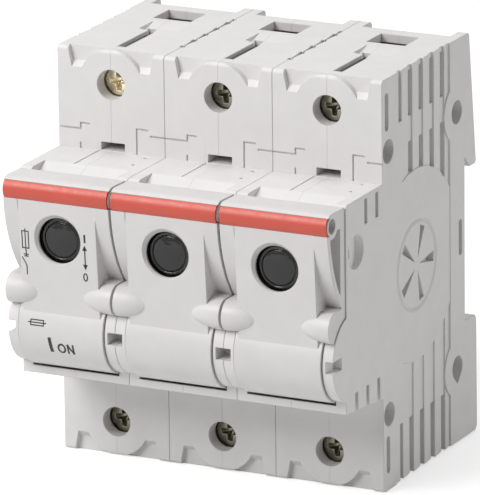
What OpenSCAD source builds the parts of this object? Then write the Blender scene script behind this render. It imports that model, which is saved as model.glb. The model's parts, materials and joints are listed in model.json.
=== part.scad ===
// Three-pole fuse switch disconnector for a 35 mm rail.
// X runs across the poles, -Y is the front and +Z is up.
// The origin is the middle of the rail seat on the back.

/* [Poles] */
// Number of poles side by side
poles = 3; // [1:1:3]
// Distance from one pole to the next
pole_pitch = 27; // [26:0.5:30]
// Gap between the mouldings of neighbouring poles
pole_gap = 0.1; // [0.05:0.05:0.3]

/* [Housing] */
// Height of the housing
body_h = 96; // [92:1:110]
// Depth of the terminal fronts in front of the rail seat
term_depth = 44.5; // [43:0.5:50]
// Thickness of the outer side plates
plate_t = 2.5; // [2:0.1:3]
// Thickness of the roof over a terminal chamber
roof_t = 2; // [1.5:0.1:3]
// Thickness of the wall in front of a terminal chamber
front_t = 3.5; // [2.5:0.1:4.5]
// Height of the shelf above the rail centre
shelf_z = 24.3; // [23:0.1:26]
// Thickness of the shelf
shelf_t = 1.9; // [1.5:0.1:2.5]
// Depth of the side plates' front edge in front of the rail seat
nose_depth = 63.5; // [62:0.5:66]
// How far the cover overhang and the housing stay apart
cover_gap = 0.3; // [0.2:0.05:0.5]
// Lowest point of the front nose below the rail centre
nose_low = 23.8; // [23.5:0.1:25]
// How much the underside of the nose drops towards the back
nose_drop = 2; // [0:0.1:3]
// Corner radius at the front of the shelf
nose_r = 1; // [0.5:0.1:2]

/* [Rail] */
// Half the height of the flat rail seat
seat_half = 15.5; // [12:0.5:15.5]
// Height of the hook's root above the rail centre
hook_z = 19.3; // [19:0.1:20]
// Height of the hook's lower edge above the rail centre
hook_tip_z = 16.4; // [16:0.1:16.8]
// How far the hook reaches behind the rail seat
hook_depth = 6.2; // [5:0.1:8]
// How far the housing's top back corner reaches behind the rail seat
crown_depth = 2.6; // [1:0.1:4]
// Gap between the rail seat and the hook's tip
hook_mouth = 2.7; // [2:0.1:3.5]
// Depth of the foot's top below the rail centre
foot_z = 19.8; // [19.5:0.1:21]
// How far the foot reaches behind the rail seat
foot_depth = 6.6; // [6:0.1:8]
// How far the back wall between the side plates lies in front of the rail seat
back_inset = 2.4; // [2:0.1:2.8]

/* [Carrier] */
// Distance of the carrier's pivot behind the side plates' front edge
pivot_inset = 2.9; // [2.6:0.1:3.2]
// Height of the carrier's pivot below the rail centre
pivot_low = 11.3; // [11:0.1:11.6]
// Radius of the housing's bearing nose round the pivot
nose_bulge_r = 10.2; // [9.8:0.1:10.4]
// Radius of the carrier's drum
drum_r = 10.7; // [10.5:0.05:10.8]
// Gap between the drum and the housing round it
drum_gap = 0.5; // [0.3:0.05:0.6]
// Wall thickness of the carrier
carrier_t = 1.8; // [1.5:0.1:2.2]
// Gap between neighbouring carriers
carrier_gap = 0.6; // [0.4:0.1:1]
// Radius of the carrier's rounded top edge
bead_r = 2.9; // [2.6:0.1:3.1]
// Distance of the rounded top edge's centre in front of the side plates
bead_reach = 6.6; // [6.3:0.1:7]
// Height of the rounded top edge's centre above the rail centre
bead_z = 21.3; // [21:0.1:21.5]
// Height of the lower edge of the colour band above the rail centre
band_low = 19.4; // [19.2:0.1:19.8]
// Height of the upper edge of the colour band above the rail centre
band_top = 23.5; // [23.2:0.1:23.8]
// Thickness of the colour band
band_t = 0.6; // [0.4:0.1:0.8]
// Distance of the front face's lower end in front of the side plates
crease_reach = 6.85; // [6.7:0.05:7.1]
// Height of the crease below the rail centre
crease_low = 8.3; // [8:0.1:9]
// Half the width of the flat front face between the finger scoops
face_half = 9.7; // [9.2:0.1:10]
// Radius of the finger scoop's curved floor
scoop_r = 32; // [30:0.5:34]
// Length of a thumb grip across the carrier
grip_len = 8.9; // [7:0.1:9.5]
// Radius of a thumb grip
grip_r = 3.6; // [3.2:0.1:3.7]
// Height of the grip's upper edge above the rail centre
grip_top = 1.2; // [0.8:0.1:1.5]
// Radius of the carrier's trunnions
trunnion_r = 3; // [2.5:0.1:3.5]
// Length of a trunnion
trunnion_len = 1.7; // [1.2:0.1:1.8]
// Radial running clearance of trunnions and screws
run_gap = 0.05; // [0.03:0.01:0.08]

/* [Sight glass and fuse socket] */
// Height of the sight glass centre above the rail centre
glass_z = 10.3; // [10:0.1:11]
// Radius of the sight hole
sight_r = 5.3; // [4.5:0.1:5.5]
// Radius of the bevel round the sight hole
sight_bevel_r = 5.9; // [5.6:0.1:6.5]
// Depth of the bevel round the sight hole
sight_bevel_d = 0.8; // [0.5:0.1:1.2]
// Thickness of the sight glass
glass_t = 1.2; // [0.8:0.1:1.5]
// Inner radius of the fuse socket
socket_r = 7.8; // [7.6:0.1:7.9]
// Wall thickness of the fuse socket
socket_t = 0.8; // [0.7:0.1:1]
// Distance of the fuse socket's open end behind the carrier's pivot
socket_reach = 8.6; // [1:0.2:9]
// Length of the fuse-link
fuse_len = 36; // [36:1:36]

/* [Terminals] */
// Distance of a terminal screw's axis from the housing's end
screw_inset = 8.1; // [7.8:0.1:8.5]
// Radius of the screwdriver hole
driver_r = 3.5; // [3.2:0.1:3.7]
// Radius of the round boss outline round a screwdriver hole
boss_r = 8.1; // [7.8:0.1:8.4]
// Radius of the terminal screw's thread
screw_r = 3; // [2.5:0.1:3]
// Radius of the terminal screw's head
head_r = 3.8; // [3.6:0.1:4.2]
// Height of the terminal screw's head
head_h = 3; // [2.5:0.1:3.5]
// Gap between the front wall and the screw head
head_gap = 0.4; // [0.3:0.05:0.6]
// Wall thickness of the clamp's sides
clamp_side_t = 1.3; // [1:0.1:1.6]
// Wall thickness of the clamp's threaded front
clamp_front_t = 2.6; // [2:0.1:3]
// Wall thickness of the clamp's back
clamp_back_t = 1.5; // [1.2:0.1:1.6]
// Half the outer width of a clamp
clamp_half = 6.6; // [6:0.1:6.8]
// Height of a clamp along the conductor
clamp_h = 10.8; // [9:0.1:11]
// Thickness of the contact bars
bar_t = 2; // [1.5:0.1:2.5]
// Width of the contact bars
bar_w = 8; // [6:0.5:9]
// Depth of the contact bars' front face in front of the rail seat
bar_depth = 16.5; // [16:0.1:17]
// Thickness of the back wall behind a terminal chamber
chamber_back_t = 1.2; // [1:0.1:1.5]

/* [Vents and side details] */
// Number of vent slots in a row
vent_count = 5; // [3:1:5]
// Distance between vent slots
vent_pitch = 5.75; // [5:0.05:6]
// Width of a vent slot
vent_w = 1.8; // [1.2:0.1:2]
// Depth of a vent slot
vent_depth = 2; // [1.5:0.1:2]
// Depth of a vent slot where it opens at the housing's top
vent_lip = 0.6; // [0.4:0.1:1]
// Distance of the first vent slot behind the terminal front
vent_inset = 9.7; // [8.5:0.1:10.5]
// How far a strip between vent slots slopes inwards to the back
strip_slope = 0.45; // [0.2:0.05:0.6]
// Radius of the plain round field on the side
field_r = 22.5; // [21:0.1:23]
// Distance of the round field's centre in front of the rail seat
field_depth = 26.3; // [25:0.1:28]
// Height of the round field's centre above the rail centre
field_z = 0.8; // [0:0.1:2]
// Radius of the moulded disc
disc_r = 10; // [9:0.1:11]
// Number of wedge-shaped slots in the moulded disc
wedge_count = 5; // [4:1:6]
// Depth of the wedge-shaped slots
wedge_depth = 1.6; // [1:0.1:2]
// Radius of a rivet's recess
recess_r = 2.8; // [2.6:0.1:3]
// Depth of a rivet's recess
recess_depth = 3.2; // [1:0.1:3.5]
// Radius of a rivet's shank
rivet_r = 1.2; // [1:0.1:1.3]
// Depth of the rounded slots in the side
slot_depth = 2; // [1:0.1:2.2]
// Width of a fine dividing line
line_w = 0.35; // [0.2:0.05:0.5]
// Depth of a fine dividing line
line_depth = 0.35; // [0.2:0.05:0.5]

/* [Rail clip] */
// Thickness of the rail clip
clip_t = 2.4; // [2:0.1:2.6]
// Half the width of the rail clip
clip_half = 5; // [4:0.1:6]
// How far the clip reaches behind the lower edge of the rail
clip_grip = 1.3; // [1:0.1:1.5]
// Clearance of the rail clip in its channel
clip_gap = 0.2; // [0.15:0.05:0.3]
// Distance between the rail seat and the clip's front
clip_depth = 1.2; // [1.1:0.1:1.4]
// Mean radius of the clip spring's coil
spring_r = 1; // [0.8:0.05:1.1]
// Radius of the clip spring's wire
spring_wire_r = 0.2; // [0.15:0.05:0.25]
// Number of turns of the clip spring
spring_turns = 8; // [6:1:9]

/* [Hidden] */
$fn = 64;
eps = 0.01;
over = 5;
half_w = (pole_pitch - pole_gap) / 2;
inner_half = half_w - plate_t;
half_h = body_h / 2;
screw_z = half_h - screw_inset;
rail_half = 17.5;
pivot_depth = nose_depth - pivot_inset;
bead_depth = nose_depth + bead_reach;
crease_depth = nose_depth + crease_reach;
socket_depth = pivot_depth - socket_reach;
vent_first = term_depth - vent_inset;
pivot = [-pivot_depth, -pivot_low];
bead = [-bead_depth, bead_z];
cut_r = drum_r + drum_gap;
overhang_r = nose_bulge_r + cover_gap;
cover_half = (pole_pitch - carrier_gap) / 2;
drum_half = inner_half - 0.3;
cover_back = -(nose_depth + cover_gap);
chamber_half = clamp_half + 0.4;
chamber_top = half_h - roof_t;
chamber_low = screw_z - clamp_h / 2 - 0.4;
chamber_front = -(term_depth - front_t);
chamber_back = -(back_inset + chamber_back_t);
block_r = 1;
nose_slot_w = 1.5;
brow_back = -(nose_depth - 6.7);
brow_drop = 0.46;
brow_half = 10.6;
arc_back = -14;
arc_low = -18;
carrier_inner_half = face_half - carrier_t / 2;
pocket_wall = 1.3;
grip_y = -pivot_depth - 8.15;
head_front = chamber_front + head_gap;
head_back = head_front + head_h;
screw_tip = -(bar_depth + 0.1);
clamp_back_front = chamber_back - 0.25 - clamp_back_t;
clamp_front_back = -(bar_depth + 1.5);
clip_back = clip_depth + clip_t;
clip_low = -(half_h - 1.5);
clip_top = -(rail_half - clip_grip);
peg_z = -half_h + 7.5;
peg_h = 1.2;
peg_half = 1.4;
window_top = -half_h + 20;
window_low = -half_h + 6;
tie_r = 1.7;
rivet_front = -(term_depth - 3.2);
rivet_back = -4.3;
bulge_r = 6.8;
line_y = -8;
rivet_spots = [
    [rivet_front, half_h - 16.9, 0], [rivet_back, half_h - 17.1, 0],
    [rivet_front, -half_h + 17.8, 0], [rivet_back, -half_h + 18.2, 1]
];
slot_y = -(term_depth - 2.5);
slot_spots = [
    [slot_y, half_h - 7.7, 8.8], [slot_y, -half_h + 8.4, 8.8], [-2.5, 0.9, 8.5]
];
ring_back = 2.6;
glass_y = face_y(glass_z) + 1.3;
glass_rim = 0.8;
strip_y = -crease_depth + 1.85;
ring_t = 1.5;
fuse_play = 0.15;
ring_y = face_y(glass_z) + ring_back;
seat_y = ring_y + ring_t + fuse_len + fuse_play;
jaw_y = -pivot_depth + 22.6;
jaw_z = -8;
jaw_t = 1.6;
jaw_half = 1.9;
strip_t = 1.2;
blade_t = 1.6;
foot_rise = 0.35;
foot_step = rivet_front + 3.3;

PER_POLE = [
    "left_shell", "right_shell", "fuse_carrier", "colour_band", "sight_glass",
    "knife_contact", "upper_contact", "lower_contact", "upper_clamp", "lower_clamp",
    "upper_screw", "lower_screw", "rail_clip", "clip_spring", "rivets"
];

shell_colour = [0.87, 0.86, 0.85];
carrier_colour = [0.9, 0.89, 0.88];
band_colour = [0.8, 0.3, 0.24];
glass_colour = [0.12, 0.14, 0.13];
copper_colour = [0.82, 0.55, 0.35];
steel_colour = [0.72, 0.7, 0.62];
clip_colour = [0.35, 0.36, 0.38];

// Puts a piece on its pole.
module at_pole(p) {
    translate([(p - (poles + 1) / 2) * pole_pitch, 0, 0]) children();
}

// Turns a flat outline in depth and height into a slab from x0 to x1.
module slab(x0, x1) {
    translate([x0, 0, 0]) rotate([90, 0, 90]) linear_extrude(x1 - x0) children();
}

// Turns a flat outline in width and height into a block from y0 to y1.
module front_block(y0, y1) {
    translate([0, y1, 0]) rotate([90, 0, 0]) linear_extrude(y1 - y0) children();
}

// A round bar along X.
module bar_x(at, r, x0, x1) {
    translate([x0, at[0], at[1]]) rotate([0, 90, 0]) cylinder(r = r, h = x1 - x0);
}

// A round bar along Y.
module bar_y(x, z, r, y0, y1) {
    translate([x, y0, z]) rotate([-90, 0, 0]) cylinder(r = r, h = y1 - y0);
}

// A box from corner to corner.
module box(low, high) {
    translate(low) cube([for (i = [0:2]) high[i] - low[i]]);
}

// Outline of the terminal block and rail side of a side plate.
module plate_block() {
    block_corners();
    polygon([
        [-term_depth, half_h - block_r], [-term_depth + block_r, half_h],
        [crown_depth - 0.6, half_h], [crown_depth, half_h - 0.6],
        [hook_depth, hook_tip_z + 0.6], [hook_depth - 0.5, hook_tip_z],
        [hook_mouth, hook_tip_z], [-0.1, hook_z],
        [-0.1, -foot_z], [foot_depth - 1.2, -foot_z],
        [foot_depth - 0.4, -foot_z - 1], [foot_depth, -half_h + foot_rise + 0.9],
        [foot_depth - 0.9, -half_h + foot_rise], [foot_step + 0.5, -half_h + foot_rise],
        [foot_step, -half_h], [-term_depth + block_r, -half_h],
        [-term_depth, -half_h + block_r]
    ]);
}

// Rounded front corners of the terminal blocks.
module block_corners() {
    for (k = [-1, 1])
        translate([-term_depth + block_r, k * (half_h - block_r)]) circle(block_r);
}

// Outline of the front nose from the shelf down to the ledge.
module nose_block() {
    translate([-nose_depth + nose_r, shelf_z - nose_r]) circle(nose_r);
    polygon([
        [-term_depth + 1, shelf_z], [-nose_depth + nose_r, shelf_z],
        [-nose_depth, shelf_z - nose_r], [-nose_depth, -pivot_low],
        [-nose_depth - 0.5, -pivot_low], [-nose_depth - 0.5, -nose_low],
        [-term_depth + 1, -nose_low - nose_drop]
    ]);
}

// Full outline of a side plate.
module plate_outline() {
    plate_block();
    nose_block();
    translate(pivot) circle(nose_bulge_r);
}

// Outline of the space that the carrier turns in.
module arc_chamber() {
    polygon([
        [-nose_depth - over, -pivot_low], [-nose_depth - over, shelf_z + over],
        [-nose_depth - cover_gap, shelf_z + over],
        [-nose_depth - cover_gap, brow_z(-nose_depth) - shelf_t + 0.7],
        [brow_back, shelf_z - shelf_t], [arc_back, shelf_z - shelf_t],
        [arc_back, arc_low], [-pivot_depth, arc_low], [-pivot_depth, -pivot_low]
    ]);
    translate(pivot) circle(cut_r);
}

// Height of the sloping brow at a depth.
function brow_z(y) = shelf_z + (y - brow_back) * brow_drop;

// Outline of one terminal chamber.
module terminal_chamber() {
    polygon([
        [chamber_front, chamber_low], [chamber_front, chamber_top],
        [chamber_back, chamber_top], [chamber_back, chamber_low]
    ]);
}

// Outline of the slot that a contact bar passes from its chamber.
module bar_slot() {
    translate([-bar_depth - 0.1, 0]) square([bar_t + 0.2, chamber_low + eps]);
}

// Outline of the walls between the side plates.
module inner_outline() {
    block_corners();
    polygon([
        [-term_depth, half_h - block_r], [-term_depth + block_r, half_h],
        [-back_inset, half_h], [-back_inset, seat_half + 2], [0, seat_half],
        [0, -seat_half], [-0.5, -seat_half - 0.2], [-0.5, -foot_z],
        [clip_back + 1.6, -foot_z - 0.6], [clip_back + 1.6, -half_h + foot_rise],
        [foot_step + 0.5, -half_h + foot_rise], [foot_step, -half_h],
        [-term_depth + block_r, -half_h], [-term_depth, -half_h + block_r]
    ]);
    nose_block();
}

// The clip channel in the foot, with the peg that holds the spring.
module clip_channel() {
    difference() {
        slab(-eps, clip_half + clip_gap) translate([clip_depth - clip_gap, -half_h - over])
            square([clip_t + 2 * clip_gap, half_h + over - seat_half - 2]);
        box([-over, 0, peg_z - peg_h], [peg_half, over, peg_z]);
    }
}

// One vent slot that stays outside or inside the round field.
module vent(i, z0, z1, w, d) {
    y = -vent_first + i * vent_pitch;
    box([half_w - d, y - w / 2, z0], [half_w + over, y + w / 2, z1]);
}

// Half the height of the round field at a vent slot.
function field_half(i) =
    sqrt(pow(field_r, 2) - pow(-vent_first + i * vent_pitch + field_depth, 2));

// The rows of vent slots and the fine lines between them.
module vents() {
    for (i = [0:vent_count - 1]) {
        top = field_z + field_half(i);
        low = field_z - field_half(i);
        vent(i, half_h - 11.7, half_h - 1.2, vent_w, vent_depth);
        vent(i, half_h - 2, half_h + over, vent_w - 0.3, vent_lip);
        vent(i, -half_h - over, -half_h + 13.7, vent_w, vent_depth);
        if (i > 0) {
            vent(i, top, half_h - 17.6, vent_w, vent_depth);
        }
    }
}

// Strips between the vent slots, each sloping inwards to the back.
module vent_strips() {
    difference() {
        for (i = [0:vent_count - 1]) {
            y0 = -vent_first + i * vent_pitch + vent_w / 2;
            y1 = min(y0 + vent_pitch, line_y);
            translate([0, 0, -half_h - over]) linear_extrude(2 * (half_h + over)) polygon([
                [half_w - 0.1, y0], [half_w - strip_slope, y1],
                [half_w + over, y1], [half_w + over, y0]
            ]);
        }
        bar_x([-field_depth, field_z], field_r, half_w - over, half_w + 2 * over);
        for (s = [rivet_spots[1], rivet_spots[3]])
            bar_x(s, bulge_r, half_w - over, half_w + 2 * over);
    }
}

// The moulded disc with its rounded rim and its wedge-shaped slots.
module disc_cuts() {
    at = [-field_depth, field_z];
    rim_r = disc_r + 0.3;
    translate([half_w - 0.5, at[0], at[1]]) rotate([0, 90, 0]) difference() {
        cylinder(r1 = rim_r, r2 = rim_r + 1.2, h = 1);
        cylinder(r1 = rim_r, r2 = rim_r - 1.2, h = 1);
    }
    slab(half_w - wedge_depth, half_w + over) translate(at)
        for (k = [0:wedge_count - 1]) rotate(k * 360 / wedge_count)
            polygon([[1.4, 0], [disc_r - 1.1, -1.5], [disc_r - 0.9, 0.9]]);
}

// Short slots at the top and bottom of the nose.
module nose_slots() {
    for (back = [10.35, 16.1]) {
        y = -nose_depth + back;
        box([half_w - vent_depth, y - nose_slot_w / 2, shelf_z - 6.8],
            [half_w + over, y + nose_slot_w / 2, shelf_z - 1]);
    }
    for (back = [5, 10.8, 16.6]) {
        y = -nose_depth + back;
        box([half_w - 1.6 * vent_depth, y - nose_slot_w / 2, -nose_low - over],
            [half_w + over, y + nose_slot_w / 2, -nose_low + 3.75]);
    }
}

// Recesses for the rivet heads, with the lower back one drawn to a point.
module rivet_recesses() {
    for (s = rivet_spots) {
        bar_x(s, recess_r, half_w - recess_depth, half_w + over);
        bar_x(s, rivet_r + run_gap, -eps, half_w + over);
        if (s[2] == 1)
            slab(half_w - recess_depth, half_w + over)
                translate([s[0], s[1]]) rotate(-135) square(recess_r);
    }
}

// Rounded slots in the side.
module side_slots() {
    for (s = slot_spots)
        slab(half_w - slot_depth, half_w + over) translate([s[0], s[1]]) {
            square([1.8, s[2] - 1.8], center = true);
            for (k = [-1, 1]) translate([0, k * (s[2] - 1.8) / 2]) circle(0.9);
        }
}

// The round recess near the shelf, with its small hole.
module side_dimple() {
    y = -nose_depth + 4.8;
    z = shelf_z - 11.9;
    translate([half_w - 0.95, y, z]) rotate([0, 0, 14]) rotate([0, 90, 0])
        cylinder(r = 3.9, h = 4);
    box([half_w - 2, y - 3.3, z - 0.8], [half_w + over, y - 2.5, z + 2.2]);
}

// The line that divides the rail side from the rest, bent round the back rivets.
module back_line() {
    top = rivet_spots[1];
    low = rivet_spots[3];
    reach = sqrt(pow(bulge_r, 2) - pow(line_y - top[0], 2));
    for (span = [
        [half_h + 1, top[1] + reach], [top[1] - reach, low[1] + reach],
        [low[1] - reach, -half_h - 1]
    ])
        box([half_w - line_depth, line_y - line_w, span[1]], [half_w + over, line_y, span[0]]);
    for (s = [top, low])
        slab(half_w - line_depth, half_w + over) intersection() {
            translate([s[0], s[1]]) difference() {
                circle(bulge_r + line_w);
                circle(bulge_r);
            }
            translate([line_y - 12, s[1] - 10]) square([12, 20]);
        }
}

// Bevelled notches either side of a screw boss at the housing's end.
module end_notches() {
    difference() {
        intersection() {
            slab(-half_w, half_w) polygon([
                [-term_depth - over, half_h - 4.9], [-term_depth, half_h - 4.7],
                [-term_depth + 1.3, half_h - 3.4], [-term_depth + 1.3, half_h + over],
                [-term_depth - over, half_h + over]
            ]);
            front_block(-term_depth - over, -term_depth + over) polygon([
                [-9.8, half_h - 5], [9.8, half_h - 5],
                [11, half_h + 1], [-11, half_h + 1]
            ]);
        }
        bar_y(0, screw_z, boss_r, -term_depth - over, -term_depth + over);
    }
}

// Screwdriver hole and wire entries of one terminal.
module terminal_openings() {
    bar_y(0, screw_z, driver_r, -term_depth - over, chamber_front + eps);
    box([-0.3, -term_depth + 4, chamber_top - eps], [1.9, -24, half_h + over]);
    box([-1.3, chamber_front, chamber_top - eps], [2.9, -25, half_h - roof_t / 2]);
    slab(-3, 6.4) polygon([
        [-24.2, half_h - 1.2], [-16.8, half_h + eps],
        [-16.8, half_h + over], [-24.2, half_h + over]
    ]);
    box([-2.1, -24.7, chamber_top - eps], [0, -21, half_h + over]);
    box([-4.4, -14.3, chamber_top - eps], [5.2, -6.2, half_h + over]);
}

// Fine lines on the upper terminal front.
module front_lines() {
    y0 = -term_depth - over;
    y1 = -term_depth + line_depth;
    z0 = shelf_z + 4.4;
    z1 = shelf_z + 6.1;
    box([-half_w - over, y0, z0], [-8, y1, z0 + line_w]);
    box([-8, y0, z0], [-8 + line_w, y1, z1]);
    box([-8, y0, z1 - line_w], [-5.5, y1, z1]);
    box([-8.1, y0, shelf_z], [-8.1 + line_w, y1, shelf_z + 1.4]);
    box([6.2, y0, shelf_z], [6.2 + line_w, y1, z1]);
    box([6.2, y0, z1 - line_w], [9.2, y1, z1]);
    box([9.8, y0, z0], [half_w + over, y1, z0 + line_w]);
}

// The sloping brow cut into the shelf, with its slanted left wall.
module brow() {
    slab(-brow_half, brow_half) polygon([
        [brow_back, shelf_z], [brow_back, shelf_z + over],
        [-nose_depth - over, shelf_z + over],
        [-nose_depth - over, brow_z(-nose_depth - over)]
    ]);
}

// One half of a pole's housing with everything that both halves share.
module plain_half() {
    difference() {
        union() {
            slab(inner_half, half_w) plate_outline();
            slab(chamber_half, inner_half + eps) difference() {
                inner_outline();
                arc_chamber();
            }
            slab(0, chamber_half + eps) difference() {
                inner_outline();
                arc_chamber();
                terminal_chamber();
                mirror([0, 1]) terminal_chamber();
            }
            for (s = [rivet_spots[1], rivet_spots[3]])
                bar_x(s, recess_r + 0.8, half_w - recess_depth - 1, inner_half + eps);
        }
        slab(-eps, bar_w / 2 + 0.1) {
            bar_slot();
            mirror([0, 1]) bar_slot();
        }
        clip_channel();
        vents();
        vent_strips();
        disc_cuts();
        nose_slots();
        rivet_recesses();
        side_slots();
        side_dimple();
        back_line();
        bar_x(pivot, trunnion_r + run_gap, inner_half - eps, inner_half + trunnion_len + 0.15);
        box([half_w - 1.8, -nose_depth - 10, -pivot_low - 1.3],
            [half_w + over, -nose_depth - 2.7, -pivot_low + 1.5]);
    }
}

// Cuts that are not the same on both halves.
module pole_cuts() {
    for (k = [0, 1]) mirror([0, 0, k]) {
        terminal_openings();
        end_notches();
    }
    front_lines();
    brow();
    box([-2.7, -term_depth - over, shelf_z + 0.2], [3.3, -term_depth + 14, shelf_z + 2.1]);
    for (back = [11, 17])
        translate([9.5, -nose_depth + back, shelf_z - 1]) cylinder(r = 0.4, h = over);
    box([-3 - line_w, brow_back - eps, shelf_z - line_depth],
        [-3, -term_depth + eps, shelf_z + over]);
}

// Housing half on the pole's left.
module left_shell() {
    color(shell_colour) difference() {
        mirror([1, 0, 0]) plain_half();
        pole_cuts();
    }
}

// Housing half on the pole's right.
module right_shell() {
    color(shell_colour) difference() {
        plain_half();
        pole_cuts();
    }
}

// Depth of the carrier's front face at a height.
function face_y(z) = let (
        top = [-bead_depth - sqrt(pow(bead_r, 2) - pow(bead_z - band_low, 2)), band_low],
        low = [-crease_depth, -crease_low]
    ) low[0] + (z - low[1]) * (top[0] - low[0]) / (top[1] - low[1]);

// Outline of the carrier's middle without its drum.
module face_outline() {
    translate(bead) circle(bead_r);
    polygon([
        [cover_back, bead_z + bead_r - 0.2], [-bead_depth, bead_z + bead_r],
        [-bead_depth, bead_z], [face_y(band_low), band_low],
        [-crease_depth, -crease_low], [-pivot_depth, -crease_low],
        [cover_back, grip_top]
    ]);
}

// Outline of the carrier's edge with the finger scoop and the grip's root.
module edge_outline() {
    translate(bead) circle(bead_r);
    polygon([
        [cover_back, bead_z + bead_r - 0.2], [-bead_depth, bead_z + bead_r],
        [-bead_depth, bead_z], [cover_back, bead_z]
    ]);
    intersection() {
        translate([-bead_depth - 2.35 + scoop_r, bead_z]) circle(scoop_r);
        translate([-bead_depth - over, grip_top - 1])
            square([bead_depth + over + cover_back, bead_z - grip_top + 1]);
    }
    polygon([
        [cover_back, grip_top], [grip_y, grip_top],
        [grip_y, -pivot_low + 4.9], [cover_back, -pivot_low + 4.9]
    ]);
}

// Pocket in the end of a carrier, between the scoop and the back wall.
module end_pocket() {
    difference() {
        intersection() {
            translate([-bead_depth - 2.35 + scoop_r, bead_z])
                circle(scoop_r - pocket_wall);
            translate([-bead_depth - over, grip_top + 1.4])
                square([over + bead_depth + cover_back - 2.2, 17.2]);
        }
        translate(bead) circle(bead_r + 0.1);
    }
}

// The two thumb grips at the carrier's sides.
module grips() {
    intersection() {
        for (k = [-1, 1])
            translate([k * cover_half, grip_y, grip_top - grip_r])
                scale([grip_len / grip_r, 1, 1]) sphere(grip_r);
        box([-cover_half, grip_y - 2 * grip_r, -20], [cover_half, cover_back, 20]);
    }
}

// Drum wall, end discs and trunnions of a carrier.
module drum() {
    slab(-drum_half, drum_half) translate(pivot) difference() {
        circle(drum_r);
        circle(drum_r - carrier_t);
        polygon([
            [0, 0], [-20, 9.6], [-20, 20], [20, 20], [20, -20], [-3.5, -20]
        ]);
    }
    for (k = [0, 1]) mirror([k, 0, 0]) {
        bar_x(pivot, drum_r, drum_half - carrier_t, drum_half);
        bar_x(pivot, trunnion_r, drum_half - eps, inner_half + trunnion_len);
    }
}

// Carrier of one pole: cover, drum, grips and fuse socket in one moulding.
module fuse_carrier() {
    color(carrier_colour) difference() {
        union() {
            difference() {
                slab(-face_half - eps, face_half + eps) face_outline();
                slab(-carrier_inner_half, carrier_inner_half) polygon([
                    [cover_back + over, bead_z + bead_r - carrier_t],
                    [-bead_depth + bead_r + 0.6, bead_z + bead_r - carrier_t],
                    [-bead_depth + bead_r + 0.6, 17.5],
                    [face_y(17.5) + carrier_t, 17.5],
                    [-crease_depth + carrier_t, -crease_low - eps],
                    [-pivot_depth + over, -crease_low - eps]
                ]);
            }
            for (k = [0, 1]) mirror([k, 0, 0]) difference() {
                slab(face_half, cover_half) edge_outline();
                slab(cover_half - 3.3, cover_half + over) end_pocket();
            }
            difference() {
                grips();
                bar_x(pivot, overhang_r, -half_w, half_w);
            }
            drum();
            intersection() {
                bar_y(0, glass_z, socket_r + socket_t, -nose_depth - 9, -socket_depth);
                box([-10, face_y(glass_z - 9) + 1, -10], [10, 0, 30]);
            }
        }
        for (k = [0, 1]) mirror([k, 0, 0]) difference() {
            bar_x(pivot, overhang_r, drum_half, half_w);
            bar_x(pivot, trunnion_r, 0, inner_half + trunnion_len);
        }
        bar_y(0, glass_z, sight_r, -crease_depth - over, ring_y);
        translate([0, face_y(glass_z) + sight_bevel_d, glass_z]) rotate([90, 0, 0])
            cylinder(r1 = sight_r, r2 = 2 * sight_bevel_r - sight_r, h = 2 * sight_bevel_d);
        bar_y(0, glass_z, sight_r + glass_rim, glass_y, ring_y + eps);
        bar_y(0, glass_z, socket_r, ring_y, -socket_depth + over);
        bar_x(bead, tie_r + run_gap, -half_w, half_w);
        box([-3.1, strip_y - 0.4, -1], [3.1, strip_y + 1.3, 5]);
        colour_band_seat();
    }
}

// Space of the colour band on the carrier's rounded edge.
module colour_band_seat() {
    slab(-half_w, half_w) intersection() {
        translate(bead) difference() {
            circle(bead_r + 1);
            circle(bead_r - band_t);
        }
        translate([-bead_depth - over, band_low]) square([over, band_top - band_low]);
    }
}

// Coloured band along the top of the cover.
module colour_band() {
    color(band_colour) slab(-cover_half + 0.2, cover_half - 0.2) intersection() {
        translate(bead) difference() {
            circle(bead_r);
            circle(bead_r - band_t + 0.02);
        }
        translate([-bead_depth - over, band_low + 0.02])
            square([over, band_top - band_low - 0.04]);
    }
}

// Glass behind the sight hole.
module sight_glass() {
    color(glass_colour)
        bar_y(0, glass_z, sight_r + glass_rim - 0.05, glass_y + 0.05, glass_y + 0.05 + glass_t);
}

// Moving contact: a ring in the fuse socket and a blade beside the drum.
module knife_contact() {
    low = -pivot_low + 6.3;
    color(copper_colour) {
        difference() {
            bar_y(0, glass_z, socket_r, ring_y, ring_y + ring_t);
            bar_y(0, glass_z, sight_r + 0.3, ring_y - 1, ring_y + ring_t + 1);
        }
        slab(-3, 3) polygon([
            [ring_y, 5], [ring_y + strip_t, 5], [strip_y + strip_t, low], [strip_y, low]
        ]);
        slab(-blade_t / 2, blade_t / 2) polygon([
            [strip_y + 0.1, low + 3.5], [-pivot_depth + 0.6, low + 1.5],
            [jaw_y - 7.5, low + 0.8], [jaw_y - 6.9, low - 1.5],
            [-pivot_depth + 0.6, low - 3], [strip_y + 0.1, low]
        ]);
    }
}

// Fixed contact from the upper terminal to the back of the fuse.
module upper_contact() {
    color(copper_colour) {
        slab(-bar_w / 2, bar_w / 2) polygon([
            [-bar_depth, half_h - roof_t - 1.5], [-bar_depth + bar_t, half_h - roof_t - 1.5],
            [-bar_depth + bar_t, glass_z - 4], [seat_y + 1.4, glass_z - 4],
            [seat_y + 1.4, glass_z + 4], [seat_y + 1.4 + bar_t, glass_z + 4],
            [seat_y + 1.4 + bar_t, glass_z - 4 + bar_t], [-bar_depth, glass_z - 4 + bar_t]
        ]);
        bar_y(0, glass_z, bar_w * 0.4, seat_y, seat_y + 1.5);
    }
}

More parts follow.
